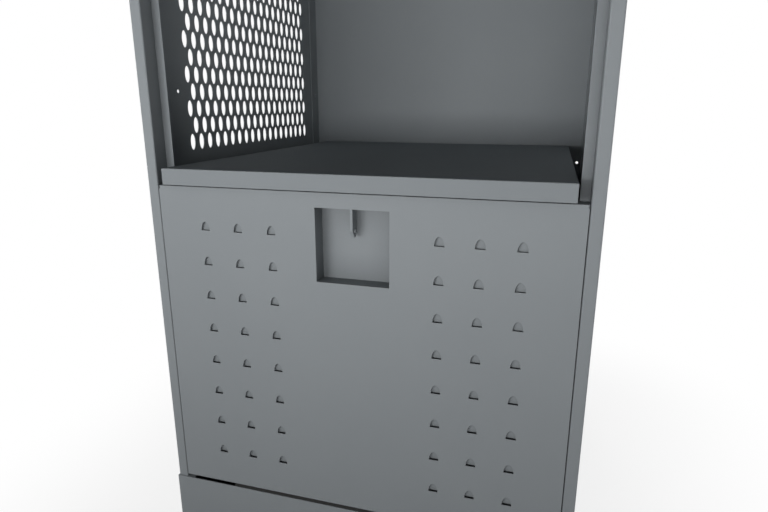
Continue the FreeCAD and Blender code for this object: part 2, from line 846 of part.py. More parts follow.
def hinge_leaf(first, plate_y, low, rivet_z, rivet_span):
    """A leaf with every second knuckle, notched clear of the other leaf's knuckles."""
    strip = slab((-hinge_half, hinge_half), plate_y, (low, hinge_z - hinge_clear))
    parts = [strip]
    for number in range(first, knuckle_count, 2):
        start = number * d.knuckle_pitch - hinge_half + d.knuckle_play / 2
        run = (start, start + d.knuckle_pitch - d.knuckle_play)
        parts.append(slab(run, plate_y, (hinge_z - hinge_clear, hinge_z)))
        parts.append(rod("x", knuckle_radius, (hinge_y, hinge_z), run))
    bore = rod("x", knuckle_bore, (hinge_y, hinge_z), (-half_width, half_width))
    return cut(join(*parts), bore, *rivet_holes(rivet_z, rivet_span))


rail_rivet_z = hinge_z - d.rail_leaf_height + d.rivet_head
rail_rivet_span = (rail_front - d.hinge_leaf - d.fit, rail_front + d.frame_sheet + d.fit)
lid_leaf_y = (lid_rear, lid_rear + d.hinge_leaf)
rail_leaf_y = (rail_front - d.hinge_leaf, rail_front)
node("hinge_lid_leaf", hinge_leaf(0, lid_leaf_y, lid_flange_bottom, lid_rivet_z, lid_rivet_span))
node(
    "hinge_rail_leaf",
    hinge_leaf(1, rail_leaf_y, hinge_z - d.rail_leaf_height, rail_rivet_z, rail_rivet_span),
)
pin_end = hinge_half + d.hinge_leaf
node("hinge_pin", rod("x", d.hinge_pin / 2, (hinge_y, hinge_z), (-pin_end, pin_end)))

# Hinge rail: a stepped strip on the back panel
rail_top = hinge_z - hinge_clear
rail_step = rail_top - d.rail_height
rail_corners = [
    (rail_front, rail_top),
    (rail_front, rail_step),
    (back_face - d.frame_sheet, rail_step),
    (back_face - d.frame_sheet, rail_step - d.rail_foot),
    (back_face, rail_step - d.rail_foot),
    (back_face, rail_step + d.frame_sheet),
    (rail_front + d.frame_sheet, rail_step + d.frame_sheet),
    (rail_front + d.frame_sheet, rail_top),
]
rail_bends = [(number, bend_outside) for number in (1, 5)]
rail_bends += [(number, d.bend_inside) for number in (2, 6)]
rail_strip = bent_strip("rail_strip", "YZ_Plane", rail_corners, -hinge_half, 2 * hinge_half, rail_bends)
node("hinge_rail", cut(rail_strip, *rivet_holes(rail_rivet_z, rail_rivet_span)))


def rivet(x, z, near, far):
    """A rivet through two sheets, with a round head on each side."""
    heads = ((near - d.rivet_head_height, near), (far, far + d.rivet_head_height))
    shank = rod("y", d.rivet_diameter / 2, (x, z), (near, far))
    return join(shank, *[rod("y", d.rivet_head / 2, (x, z), head) for head in heads])


node(
    "lid_hinge_rivets",
    group(*[rivet(x, lid_rivet_z, lid_rear - d.lid_sheet, lid_rear + d.hinge_leaf) for x in rivet_xs]),
)
node(
    "rail_hinge_rivets",
    group(*[rivet(x, rail_rivet_z, rail_front - d.hinge_leaf, rail_front + d.frame_sheet) for x in rivet_xs]),
)

# Hat shelf: a pan on four clips
shelf_skirt = (shelf_bottom, shelf_top)
shelf_sheet = slab((-inner_half, inner_half), (shelf_front, shelf_rear), (shelf_under, shelf_top))
shelf_sides = [
    slab(mirrored(sign, inner_half - d.body_sheet, inner_half), (shelf_front, shelf_rear), shelf_skirt)
    for sign in (-1, 1)
]
shelf_ends = [
    slab((-inner_half, inner_half), run, shelf_skirt)
    for run in ((shelf_front, shelf_front + d.body_sheet), (shelf_rear - d.body_sheet, shelf_rear))
]
shelf_pan = round_off(
    join(shelf_sheet, *shelf_sides, *shelf_ends),
    edge_round,
    runs_along("x", y=shelf_front, z=shelf_top),
)
hanger_foot_xs = [sign * (hanger_x - d.hanger_foot / 2) for sign in (-1, 1)]
screw_ys = (rod_y - d.hanger_screw_spacing / 2, rod_y + d.hanger_screw_spacing / 2)
screw_places = [(x, y) for x in hanger_foot_xs for y in screw_ys]
through_shelf = (shelf_under - d.hanger_sheet - d.fit, shelf_top + d.fit)
screw_bore = d.screw_diameter / 2 + d.snug_fit
shelf_holes = [rod("z", screw_bore, place, through_shelf) for place in screw_places]
node("hat_shelf", cut(shelf_pan, *shelf_holes))


def shelf_clip(sign, y):
    """An angle on the side panel whose level leg carries the shelf's edge."""
    run = (y - d.clip_length / 2, y + d.clip_length / 2)
    level_x = mirrored(sign, wall_inner - d.clip_leg, wall_inner)
    plumb_x = mirrored(sign, wall_inner - d.frame_sheet, wall_inner)
    level = slab(level_x, run, (shelf_bottom - d.frame_sheet, shelf_bottom))
    plumb = slab(plumb_x, run, (shelf_bottom - d.clip_leg, shelf_bottom))
    return join(level, plumb)


clip_ys = (shelf_front + d.clip_inset, back_wrap - d.clip_inset)
node("shelf_clips", group(*[shelf_clip(sign, y) for sign in (-1, 1) for y in clip_ys]))

# Coat rod: a tube through two hangers under the shelf, with a cap in each end
rod_radius = d.rod_diameter / 2
rod_bore = rod_radius - d.rod_wall
rod_tube = rod("x", rod_radius, (rod_y, rod_z), (-rod_half, rod_half))
rod_space = rod("x", rod_bore, (rod_y, rod_z), (-rod_half - d.fit, rod_half + d.fit))
node("coat_rod", cut(rod_tube, rod_space))


def hanger(sign):
    """A plate with a hole for the rod and a foot screwed under the shelf."""
    half = d.hanger_width / 2
    run = (rod_y - half, rod_y + half)
    sheet_x = mirrored(sign, hanger_x, hanger_x + d.hanger_sheet)
    plate = slab(sheet_x, run, (rod_z, shelf_under))
    round_end = rod("x", half, (rod_y, rod_z), sheet_x)
    foot_plate = slab(
        mirrored(sign, hanger_x - d.hanger_foot + d.hanger_sheet, hanger_x + d.hanger_sheet),
        run,
        (shelf_under - d.hanger_sheet, shelf_under),
    )
    hole = rod("x", rod_radius + d.snug_fit, (rod_y, rod_z), (-half_width, half_width))
    screw_tools = [rod("z", screw_bore, place, through_shelf) for place in screw_places]
    return cut(join(plate, round_end, foot_plate), hole, *screw_tools)


node("rod_hangers", group(hanger(-1), hanger(1)))


def rod_cap(sign):
    """A plug in the tube's bore with a flange over its end."""
    plug_x = mirrored(sign, rod_half - d.cap_depth, rod_half)
    flange_x = mirrored(sign, rod_half, rod_half + d.cap_flange)
    plug = rod("x", rod_bore - d.snug_fit, (rod_y, rod_z), plug_x)
    flange = rod("x", rod_radius, (rod_y, rod_z), flange_x)
    return join(plug, flange)


node("rod_end_caps", group(rod_cap(-1), rod_cap(1)))


def shelf_screw(place):
    """A screw down through the shelf and the hanger's foot."""
    head_top = shelf_top + d.screw_head_height
    screw_end = shelf_under - d.hanger_sheet - d.screw_tail
    shank = rod("z", d.screw_diameter / 2, place, (screw_end, shelf_top))
    head = rod("z", d.screw_head / 2, place, (shelf_top, head_top))
    return round_off(join(shank, head), d.screw_head_round, runs_round(head_top))


node("hanger_screws", group(*[shelf_screw(place) for place in screw_places]))


# Coat hooks: a plate on the back panel with a bent wire that ends in a ball
hook_count = int(d.hook_count.value)
hook_xs = [(number - (hook_count - 1) / 2) * d.hook_spacing for number in range(hook_count)]
hook_plate_face = back_face - d.hook_plate_sheet
hook_screw_zs = (hook_z - d.hook_screw_spacing / 2, hook_z + d.hook_screw_spacing / 2)


def hook(x):
    """A screw plate, a wire bent out and up, and a ball on its end."""
    half = d.hook_plate_width / 2
    tall = d.hook_plate_height / 2
    plate = slab((x - half, x + half), (hook_plate_face, back_face), (hook_z - tall, hook_z + tall))
    bend = d.hook_bend.value
    start = Vector(x.value, hook_plate_face.value + d.hook_plate_sheet.value / 2, hook_z.value)
    knee = Vector(x.value, (hook_plate_face - d.hook_reach).value, hook_z.value)
    end = knee + Vector(0, 0, d.hook_rise.value)
    arc_in = knee + Vector(0, bend, 0)
    arc_out = knee + Vector(0, 0, bend)
    middle = knee + Vector(0, bend, bend) * (1 - math.sqrt(0.5))
    path = Part.Wire([
        Part.LineSegment(start, arc_in).toShape(),
        Part.Arc(arc_in, middle, arc_out).toShape(),
        Part.LineSegment(arc_out, end).toShape(),
    ])
    profile = Part.Wire(Part.Circle(start, Vector(0, 1, 0), d.hook_wire.value / 2).toShape())
    wire = formed(path.makePipeShell([profile], True, False))
    ball = doc.addObject("Part::Sphere", "ball")
    ball.setExpression("Radius", (d.hook_ball / 2).text)
    ball.Placement = Placement(end, Rotation())
    through_plate = (hook_plate_face - d.fit, back_face + d.fit)
    holes = [rod("y", screw_bore, (x, z), through_plate) for z in hook_screw_zs]
    return cut(join(plate, wire, ball), *holes)


def hook_screw(x, z):
    """A screw through the hook's plate into the back panel."""
    shank = rod("y", d.screw_diameter / 2, (x, z), (hook_plate_face, back_face))
    head = rod("y", d.screw_head / 2, (x, z), (hook_plate_face - d.screw_head_height, hook_plate_face))
    return join(shank, head)


node("coat_hooks", group(*[hook(x) for x in hook_xs]))
node("hook_screws", group(*[hook_screw(x, z) for x in hook_xs for z in hook_screw_zs]))


def check(items):
    """Stops if any object failed or any piece has no valid shape."""
    for item in doc.Objects:
        if {"Invalid", "Error"} & set(item.State):
            raise RuntimeError(f"{item.Label} failed: {item.State}")
    for item in items:
        if item.Shape.isNull() or not item.Shape.isValid():
            raise RuntimeError(f"{item.Label} has no valid shape")


doc.recompute()
check(nodes)
os.makedirs("parts", exist_ok=True)
for item in nodes:
    item.Shape.exportStep(f"parts/{item.Label}.step")
    print(item.Label, len(item.Shape.Solids), round(item.Shape.Volume / 1000, 1))
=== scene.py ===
import json
import math

import bpy
import numpy as np
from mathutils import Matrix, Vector


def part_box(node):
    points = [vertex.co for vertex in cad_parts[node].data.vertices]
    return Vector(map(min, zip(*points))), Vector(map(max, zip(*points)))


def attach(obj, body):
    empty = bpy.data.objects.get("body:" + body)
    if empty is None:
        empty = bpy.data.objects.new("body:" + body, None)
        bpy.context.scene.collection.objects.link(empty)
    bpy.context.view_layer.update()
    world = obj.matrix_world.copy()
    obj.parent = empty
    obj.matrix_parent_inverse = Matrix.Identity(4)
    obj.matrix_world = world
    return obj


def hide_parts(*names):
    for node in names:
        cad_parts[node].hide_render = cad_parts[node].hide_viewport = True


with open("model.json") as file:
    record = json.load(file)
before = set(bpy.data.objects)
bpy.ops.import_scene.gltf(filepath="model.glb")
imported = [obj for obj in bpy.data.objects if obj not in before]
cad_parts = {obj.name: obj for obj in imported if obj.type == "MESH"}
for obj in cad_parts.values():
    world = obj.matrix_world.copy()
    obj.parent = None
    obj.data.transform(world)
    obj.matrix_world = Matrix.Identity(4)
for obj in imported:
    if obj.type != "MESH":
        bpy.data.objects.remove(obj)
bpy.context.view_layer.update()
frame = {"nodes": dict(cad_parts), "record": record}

# Looks of the gear locker: finishes, small turned pieces, stage, lights and camera.
# Metres, +Z up, the open front towards -Y.

nodes = frame["nodes"]
MM = 0.001


# Finishes

MIX_SHARE, MIX_LOW, MIX_HIGH = 0, 6, 7
MIX_COLOUR = 2
NOISE_ROUGHNESS = 0.55
EDGE_RADIUS = 0.6 * MM
EDGE_WEAR_AND_HIGHLIGHT = 0.45
HOLLOW_REACH = 40 * MM
FEELER_RAYS = 4
PEEL_DEPTH = 0.05 * MM
DRAWN_DEPTH = 0.02 * MM
POLISH_DEPTH = 0.002 * MM
RUBBER_DEPTH = 0.08 * MM
PLASTIC_DEPTH = 0.04 * MM


def screen_colour(red, green, blue):
    """A colour given in the 0 to 255 levels of a screen, as linear light with full alpha."""
    levels = [level / 255 for level in (red, green, blue)]
    return [v / 12.92 if v <= 0.04045 else ((v + 0.055) / 1.055) ** 2.4 for v in levels] + [1.0]


class Wire:
    """A node's output, whose sums and products add Math nodes."""

    def __init__(self, finish, socket):
        self.finish = finish
        self.socket = socket

    def maths(self, operation, *values):
        return self.finish.add("ShaderNodeMath", {"operation": operation}, dict(enumerate(values)))

    def __add__(self, other):
        return self.maths("ADD", self, other)

    def __sub__(self, other):
        return self.maths("SUBTRACT", self, other)

    def __rsub__(self, other):
        return self.maths("SUBTRACT", other, self)

    def __mul__(self, other):
        return self.maths("MULTIPLY", self, other)

    __radd__ = __add__
    __rmul__ = __mul__

    def between(self, low, high):
        """0 below the low value and 1 above the high one, with a soft rise."""
        settings = {"interpolation_type": "SMOOTHSTEP"}
        values = {"Value": self, "From Min": low, "From Max": high}
        return self.finish.add("ShaderNodeMapRange", settings, values)


class Finish:
    """One material's node tree, with a method that adds any node."""

    def __init__(self, name):
        self.material = bpy.data.materials.new(name)
        self.material.use_nodes = True
        self.tree = self.material.node_tree
        self.tree.nodes.clear()
        self.place = self.add("ShaderNodeTexCoord", output="Object")

    def add(self, kind, settings=None, values=None, output=0):
        """A node of a kind: its settings first, then its sockets' values or links."""
        node = self.tree.nodes.new(kind)
        for name, setting in (settings or {}).items():
            setattr(node, name, setting)
        for key, value in (values or {}).items():
            if isinstance(value, Wire):
                self.tree.links.new(value.socket, node.inputs[key])
            else:
                node.inputs[key].default_value = value
        return Wire(self, node.outputs[output]) if node.outputs else None

    def noise(self, waves, detail=2.0, stretch=(1, 1, 1)):
        """Cloudy noise, with a number of waves to the metre."""
        place = self.add("ShaderNodeMapping", {}, {"Vector": self.place, "Scale": stretch})
        values = {"Vector": place, "Scale": waves, "Detail": detail, "Roughness": NOISE_ROUGHNESS}
        return self.add("ShaderNodeTexNoise", {}, values)

    def mix(self, share, low, high):
        """A colour between two colours, through the colour sockets of a Mix node."""
        values = {MIX_SHARE: share, MIX_LOW: low, MIX_HIGH: high}
        return self.add("ShaderNodeMix", {"data_type": "RGBA"}, values, MIX_COLOUR)

    def vector_maths(self, operation, *values, output=0):
        """One step of maths on vectors."""
        settings = {"operation": operation}
        return self.add("ShaderNodeVectorMath", settings, dict(enumerate(values)), output)

    def bump(self, height, depth, normal=None):
        """A normal from a height map of a given depth in metres."""
        values = {"Height": height, "Strength": 1.0, "Distance": depth}
        if normal is not None:
            values["Normal"] = normal
        return self.add("ShaderNodeBump", {}, values)

    def close(self, **values):
        """Ends the tree in a Principled shader with these sockets."""
        named = {name.replace("_", " "): value for name, value in values.items()}
        shader = self.add("ShaderNodeBsdfPrincipled", {}, named)
        self.add("ShaderNodeOutputMaterial", {}, {"Surface": shader})
        return self.material


def powder_coat(name, scuffs=0.0, dust=0.0, painted_shade=0.0, sheen=0.15, dull=0.55):
    """Matt grey powder coat: cloudy tone, orange peel, thin pale edges (part edge wear, part painted
    highlight), faint scuffs or dust, and painted shade in hollows."""
    finish = Finish(name)
    grey = screen_colour(140, 145, 148)
    deep = screen_colour(131, 136, 140)
    pale = screen_colour(156, 160, 162)
    painted_shade_colour = screen_colour(40, 42, 44)
    cloud = finish.noise(7.0, 4.0)
    speck = finish.noise(1400.0, 1.0)
    colour = finish.mix((cloud - 0.5) * 0.5 + 0.3 + (speck - 0.5) * 0.35, grey, deep)
    streak = finish.noise(26.0, 5.0, (0.25, 1, 3)).between(0.62, 0.74)
    scuffed = streak * finish.noise(9.0).between(0.45, 0.7) * scuffs
    colour = finish.mix(scuffed, colour, pale)
    facing = finish.add("ShaderNodeNewGeometry", output="Normal")
    up = finish.add("ShaderNodeSeparateXYZ", {}, {0: facing}, output=2)
    dusty = up.between(0.6, 0.95) * finish.noise(40.0, 6.0).between(0.35, 0.8) * dust
    colour = finish.mix(dusty, colour, pale)
    # Pale edges, part edge wear and part painted highlight: the coat is lightened where the softened
    # bevel normal turns away from the face's normal.
    soft_edge = finish.add("ShaderNodeBevel", {"samples": FEELER_RAYS}, {"Radius": EDGE_RADIUS})
    agree = finish.vector_maths("DOT_PRODUCT", soft_edge, facing, output="Value")
    colour = finish.mix((1 - agree).between(0.03, 0.25) * EDGE_WEAR_AND_HIGHLIGHT, colour, pale)
    # Painted shade: the coat is darkened towards a dark grey wherever an ambient-occlusion test finds
    # nearby surfaces, that is in corners, recesses and between parts.
    if painted_shade:
        rays = {"samples": FEELER_RAYS}
        reach = {"Distance": HOLLOW_REACH}
        clear = finish.add("ShaderNodeAmbientOcclusion", rays, reach, output="AO")
        colour = finish.mix((1 - clear) * painted_shade, colour, painted_shade_colour)
    rough = dull + (cloud - 0.5) * 0.12 + (speck - 0.5) * 0.08
    peel = finish.noise(420.0, 2.0) * 0.7 + finish.noise(1100.0, 1.0) * 0.3
    return finish.close(
        Base_Color=colour,
        Roughness=rough,
        Normal=finish.bump(peel, PEEL_DEPTH, soft_edge),
        Specular_IOR_Level=sheen,
    )


def zinc_plate(name):
    """Zinc-plated steel: crystal spangle, fine drawn lines and a soft blue cast."""
    finish = Finish(name)
    bright = screen_colour(205, 208, 211)
    dull = screen_colour(168, 173, 178)
    cells = {"Vector": finish.place, "Scale": 420.0}
    spangle = finish.add("ShaderNodeTexVoronoi", {}, cells, output="Color")
    tone = finish.add("ShaderNodeSeparateColor", {}, {0: spangle})
    lines = finish.noise(900.0, 2.0, (0.05, 1, 1))
    colour = finish.mix(tone * 0.6 + lines * 0.4, dull, bright)
    return finish.close(
        Base_Color=colour,
        Metallic=1.0,
        Roughness=0.3 + tone * 0.12 + lines * 0.08,
        Normal=finish.bump(lines, DRAWN_DEPTH),
    )


def bright_plate(name, grey, dull, stretch):
    """Bright plated steel: a satin mirror of a grey, with polishing lines along the stretched axes."""
    finish = Finish(name)
    lines = finish.noise(1500.0, 2.0, stretch)
    cloud = finish.noise(30.0, 3.0)
    low = screen_colour(grey, grey + 3, grey + 6)
    high = screen_colour(grey + 14, grey + 16, grey + 18)
    colour = finish.mix(cloud, low, high)
    return finish.close(
        Base_Color=colour,
        Metallic=1.0,
        Roughness=dull + lines * 0.1 + cloud * 0.06,
        Normal=finish.bump(lines, POLISH_DEPTH),
    )


def black_rubber(name):
    """Moulded rubber: matt black with a fine grain and pale bloom."""
    finish = Finish(name)
    grain = finish.noise(2200.0, 3.0)
    bloom = finish.noise(120.0, 4.0).between(0.45, 0.75)
    colour = finish.mix(bloom * 0.5, screen_colour(38, 38, 40), screen_colour(62, 62, 64))
    return finish.close(
        Base_Color=colour,
        Roughness=0.78 + grain * 0.15,
        Normal=finish.bump(grain, RUBBER_DEPTH),
        Specular_IOR_Level=0.3,
    )


def black_plastic(name):
    """Moulded plastic: dark, with a spark-eroded texture."""
    finish = Finish(name)
    grain = finish.add("ShaderNodeTexVoronoi", {}, {"Vector": finish.place, "Scale": 1600.0})
    cloud = finish.noise(60.0)
    colour = finish.mix(cloud, screen_colour(36, 37, 39), screen_colour(48, 49, 51))
    return finish.close(
        Base_Color=colour,
        Roughness=0.45 + grain * 0.2,
        Normal=finish.bump(grain, PLASTIC_DEPTH),
    )


body_coat = powder_coat("body_coat")
# The panel, pocket and uprights carry painted shade in their hollows, strongest on the uprights.
panel_coat = powder_coat("panel_coat", painted_shade=0.3)
pocket_coat = powder_coat("pocket_coat", painted_shade=0.55)
upright_coat = powder_coat("upright_coat", painted_shade=0.7)
seat_coat = powder_coat("seat_coat", scuffs=0.12, sheen=0.02, dull=0.75)
base_coat = powder_coat("base_coat", scuffs=0.3, dust=0.2)
floor_coat = powder_coat("floor_coat", scuffs=0.3, dust=0.4)
zinc = zinc_plate("zinc")
bright = bright_plate("bright", 176, 0.16, (1, 0.04, 0.04))
brushed = bright_plate("brushed", 158, 0.34, (1, 1, 0.04))
rubber = black_rubber("rubber")
plastic = black_plastic("plastic")

finish_of_slot = {
    "powder_coat": body_coat,
    "zinc_steel": zinc,
    "bright_steel": bright,
    "bumper_rubber": rubber,
    "cap_plastic": plastic,
}
subparts = frame["record"]["subparts"]
finish_of_node = {row["node"]: finish_of_slot[row["material_slot"]] for row in subparts}
finish_of_node["seat_lid"] = seat_coat
finish_of_node["front_panel"] = panel_coat
finish_of_node["padlock_pocket"] = pocket_coat
finish_of_node["coat_hooks"] = brushed
finish_of_node["foot_locker_floor"] = floor_coat
for name in ("left_front_upright", "right_front_upright"):
    finish_of_node[name] = upright_coat
for name in ("kick_plate", "rear_base_rail", "left_base_rail", "right_base_rail"):
    finish_of_node[name] = base_coat
for name, item in nodes.items():
    item.data.materials.clear()
    item.data.materials.append(finish_of_node[name])


# Small turned and formed pieces, in millimetres until they are placed

SEGMENTS = 72
SHARP_ANGLE = 40
DOME_RINGS = 7
FILLET_RINGS = 5
RINGS_PER_PITCH = 4
HEAD_RINGS = (0.3, 0.55, 0.75, 0.88, 0.95, 1.0)
HEXAGON = 6
TINY = 1e-6
ANGLES = np.arange(SEGMENTS) * 2 * np.pi / SEGMENTS
FACINGS = {
    "up": np.array([[1, 0, 0], [0, 1, 0], [0, 0, 1]]),
    "front": np.array([[1, 0, 0], [0, 0, 1], [0, -1, 0]]),
    "rear": np.array([[1, 0, 0], [0, 0, -1], [0, 1, 0]]),
    "left": np.array([[0, 0, 1], [0, 1, 0], [-1, 0, 0]]),
    "right": np.array([[0, 0, -1], [0, 1, 0], [1, 0, 0]]),
}


def turned(*rows):
    """Rings round the Z axis: x = r cos a, y = r sin a, z = h, where each row gives r and h,
    as numbers or as one value for each angle a."""
    radius, height = (np.stack([np.broadcast_to(row[i], SEGMENTS) for row in rows]) for i in (0, 1))
    return np.stack([radius * np.cos(ANGLES), radius * np.sin(ANGLES), height], -1)


def skin(rings, loop=False):
    """Points and faces over rings: four neighbours make a face, and a middle point closes each end,
    or in a loop the last ring meets the first."""
    index = np.arange(rings.shape[0] * SEGMENTS).reshape(-1, SEGMENTS)
    if loop:
        index = np.concatenate([index, index[:1]])
    beside = np.roll(index, -1, axis=1)
    corners = [index[:-1], index[1:], beside[1:], beside[:-1]]
    quads = np.stack(corners, -1).reshape(-1, 4)
    points = rings.reshape(-1, 3)
    if loop:
        return points, quads, np.empty((0, 3), int)
    top = np.full(SEGMENTS, len(points))
    fans = [np.stack([top, index[0], beside[0]], -1), np.stack([top + 1, beside[-1], index[-1]], -1)]
    ends = np.stack([rings[0].mean(0), rings[-1].mean(0)])
    return np.concatenate([points, ends]), quads, np.concatenate(fans)


def crown(radius, edge, rise, power):
    """Height of a domed head: rise times the root of 1 - (r / edge) to a power."""
    return rise * np.sqrt(np.clip(1 - (radius / edge) ** power, 0, None))


def many_sided(sides, half_flat):
    """Radius of a regular outline at each angle: half its width over flats, divided by the cosine
    of the angle from the middle of a flat."""
    step = 2 * np.pi / sides
    return half_flat / np.cos((ANGLES + step / 2) % step - step / 2)


def cross(arm, half_width):
    """Radius of a cross at each angle: the nearer of an arm's end and an arm's side."""
    away = np.abs((ANGLES + np.pi / 4) % (np.pi / 2) - np.pi / 4)
    return np.minimum(arm / np.cos(away), half_width / np.maximum(np.sin(away), TINY))


def headed(recess, depth, floor_share, edge, rise, power):
    """Rows of a domed head with a recess: a floor outline, the rim, and rings from it to the edge."""
    rows = [(recess * floor_share, rise - depth), (recess, crown(recess, edge, rise, power))]
    for share in HEAD_RINGS:
        radius = recess + (edge - recess) * share
        rows.append((radius, crown(radius, edge, rise, power)))
    return rows


def threaded(radius, top, bottom, pitch, depth):
    """Rows of a screw thread: the radius falls by the depth times a wave of height and angle."""
    rows = []
    rings = int((top - bottom) / pitch * RINGS_PER_PITCH) + 1
    for height in np.linspace(top, bottom, rings):
        turn = (height / pitch + ANGLES / (2 * np.pi)) % 1
        rows.append((radius - depth * np.abs(2 * turn - 1), height))
    return rows


def grid_places(xs, ys, zs):
    """Every meeting of these x, y and z values, a place in each row."""
    return np.stack(np.meshgrid(xs, ys, zs, indexing="ij"), -1).reshape(-1, 3)


def inner_box(node, inset):
    """A node's box in millimetres, drawn in by an inset."""
    low, high = (np.array(corner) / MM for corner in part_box(node))
    return np.stack([low + inset, high - inset])


def small_piece(name, body, finish, shape, places, facing="up", stands_for=()):
    """Copies of a skin, turned to face a way and set at places, as one mesh that rides on a body."""
    points, quads, fans = shape
    copies = (places[:, None, :] + points @ FACINGS[facing]).reshape(-1, 3) * MM
    step = len(points) * np.arange(len(places))[:, None, None]
    faces = (quads + step).reshape(-1, 4).tolist() + (fans + step).reshape(-1, 3).tolist()
    mesh = bpy.data.meshes.new(name)
    mesh.from_pydata(copies.tolist(), [], faces)
    mesh.polygons.foreach_set("use_smooth", np.ones(len(faces), bool))
    mesh.set_sharp_from_angle(angle=math.radians(SHARP_ANGLE))
    mesh.materials.append(finish)
    item = bpy.data.objects.new(name, mesh)
    bpy.context.scene.collection.objects.link(item)
    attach(item, body)
    if stands_for:
        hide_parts(*stands_for)


# Blind rivets of the hinge: a domed head with the mandrel's dimple, and a plain dome behind
RIVET_HEAD = 2.8
RIVET_RISE = 1.0
RIVET_SHANK = 1.6
RIVET_GRIP = 1.35
RIVET_COUNT = 6
DIMPLE_FLOOR = (0.72, RIVET_GRIP + 0.5)
DIMPLE_RIM = (0.8, RIVET_GRIP + 0.88)
DOME_START = 0.33
dome_angles = np.linspace(DOME_START, np.pi / 2, DOME_RINGS)
dome_rows = [(RIVET_HEAD * math.sin(a), RIVET_GRIP + RIVET_RISE * math.cos(a)) for a in dome_angles]
shank = [(RIVET_SHANK, RIVET_GRIP), (RIVET_SHANK, -RIVET_GRIP)]
tail = [(radius, -height) for radius, height in reversed(dome_rows)]
rivet = skin(turned(DIMPLE_FLOOR, DIMPLE_RIM, *dome_rows, *shank, *tail))
for node, body in (("lid_hinge_rivets", "lid"), ("rail_hinge_rivets", "cabinet")):
    box = inner_box(node, RIVET_HEAD)
    middle = box.mean(0)
    places = grid_places(np.linspace(*box[:, 0], RIVET_COUNT), middle[1:2], middle[2:3])
    small_piece("blind_" + node, body, zinc, rivet, places, "front", (node,))

# Pan-head screws with a cross recess: four through the shelf, six through the hook plates
SCREW_HEAD = 4.0
SCREW_RISE = 2.2
SCREW_SHANK = 2.0
SCREW_PITCH = 0.7
SCREW_GROOVE = 0.3
CROSS_ARM = 2.2
CROSS_TAPER = 15
CROSS_DEPTH = 1.5
CROSS_FLOOR = 0.5
SCREW_CROWN = 4
recess = cross(CROSS_ARM, CROSS_ARM * math.tan(math.radians(CROSS_TAPER)))
pan_head = headed(recess, CROSS_DEPTH, CROSS_FLOOR, SCREW_HEAD, SCREW_RISE, SCREW_CROWN)
box = inner_box("hanger_screws", SCREW_HEAD)
screw_seat = box[1, 2] + SCREW_HEAD - SCREW_RISE
screw_end = box[0, 2] - SCREW_HEAD - screw_seat
screw_thread = threaded(SCREW_SHANK, 0, screw_end, SCREW_PITCH, SCREW_GROOVE)
shelf_screw = skin(turned(*pan_head, *screw_thread))
places = grid_places(box[:, 0], box[:, 1], [screw_seat])
stands_for = ("hanger_screws",)
small_piece("shelf_pan_screws", "cabinet", zinc, shelf_screw, places, "up", stands_for)

HOOK_COUNT = 3
box = inner_box("hook_screws", SCREW_HEAD)
plate_face = box[0, 1] - SCREW_HEAD + SCREW_RISE
hook_screw_end = plate_face - box[1, 1] - SCREW_HEAD
hook_screw = skin(turned(*pan_head, (SCREW_SHANK, 0), (SCREW_SHANK, hook_screw_end)))
hook_xs = np.linspace(*box[:, 0], HOOK_COUNT)
places = grid_places(hook_xs, [plate_face], box[:, 2])
stands_for = ("hook_screws",)
small_piece("hook_pan_screws", "cabinet", zinc, hook_screw, places, "front", stands_for)

# Weld fillets where the hooks' wires leave their plates
WIRE = 3.5
FILLET = 2.2
FILLET_LAP = 0.3
FILLET_ROOT = 0.5
fillet_angles = np.linspace(0, np.pi / 2, FILLET_RINGS)
fillet_rows = [(WIRE + FILLET * (1 - math.cos(a)), FILLET * (1 - math.sin(a))) for a in fillet_angles]
fillet = skin(turned((WIRE - FILLET_LAP, FILLET), *fillet_rows, (WIRE, -FILLET_ROOT)))
hook_box = inner_box("coat_hooks", 0)
places = grid_places(hook_xs, [plate_face], [hook_box[:, 2].mean()])
small_piece("hook_weld_fillets", "cabinet", brushed, fillet, places, "front")

# Button-head bolts with a hexagon socket and a thread, and their chamfered nuts
BOLT_HEAD = 8.0
BOLT_RISE = 5.0
BOLT_SHANK = 4.0
THREAD_PITCH = 1.25
THREAD_GROOVE = 0.5
BOLT_POINT = 2.6
POINT_DROP = 0.01
SOCKET_HALF = 2.5
SOCKET_DEPTH = 2.6
SOCKET_FLOOR = 1.0
BOLT_CROWN = 2.4
box = inner_box("base_bolts", BOLT_HEAD)
bolt_seat = box[1, 2] + BOLT_HEAD - BOLT_RISE
bolt_end = box[0, 2] - BOLT_HEAD - bolt_seat
socket = many_sided(HEXAGON, SOCKET_HALF)
button = headed(socket, SOCKET_DEPTH, SOCKET_FLOOR, BOLT_HEAD, BOLT_RISE, BOLT_CROWN)
bolt_thread = threaded(BOLT_SHANK, 0, bolt_end, THREAD_PITCH, THREAD_GROOVE)
bolt = skin(turned(*button, *bolt_thread, (BOLT_POINT, bolt_end - POINT_DROP)))
bolt_places = grid_places(box[:, 0], box[:, 1], [bolt_seat])
stands_for = ("base_bolts",)
small_piece("button_head_bolts", "cabinet", zinc, bolt, bolt_places, "up", stands_for)

NUT_HEIGHT = 6.5
NUT_HALF = 6.5
NUT_FACE = 6.2
NUT_BEVEL = 30
NUT_BORE = 4.06
NUT_MOUTH = 4.7
MOUTH_DEPTH = 0.6
outline = many_sided(HEXAGON, NUT_HALF)
bevel = (outline - NUT_FACE) * math.tan(math.radians(NUT_BEVEL))
nut_top = [(NUT_MOUTH, NUT_HEIGHT), (NUT_FACE, NUT_HEIGHT), (outline, NUT_HEIGHT - bevel)]
nut_foot = [(outline, bevel), (NUT_FACE, 0), (NUT_MOUTH, 0)]
nut_bore = [(NUT_BORE, MOUTH_DEPTH), (NUT_BORE, NUT_HEIGHT - MOUTH_DEPTH)]
nut = skin(turned(*nut_top, *nut_foot, *nut_bore), loop=True)
nut_low = inner_box("base_nuts", 0)[0, 2]
nut_places = grid_places(box[:, 0], box[:, 1], [nut_low])
small_piece("chamfered_nuts", "cabinet", zinc, nut, nut_places, "up", ("base_nuts",))

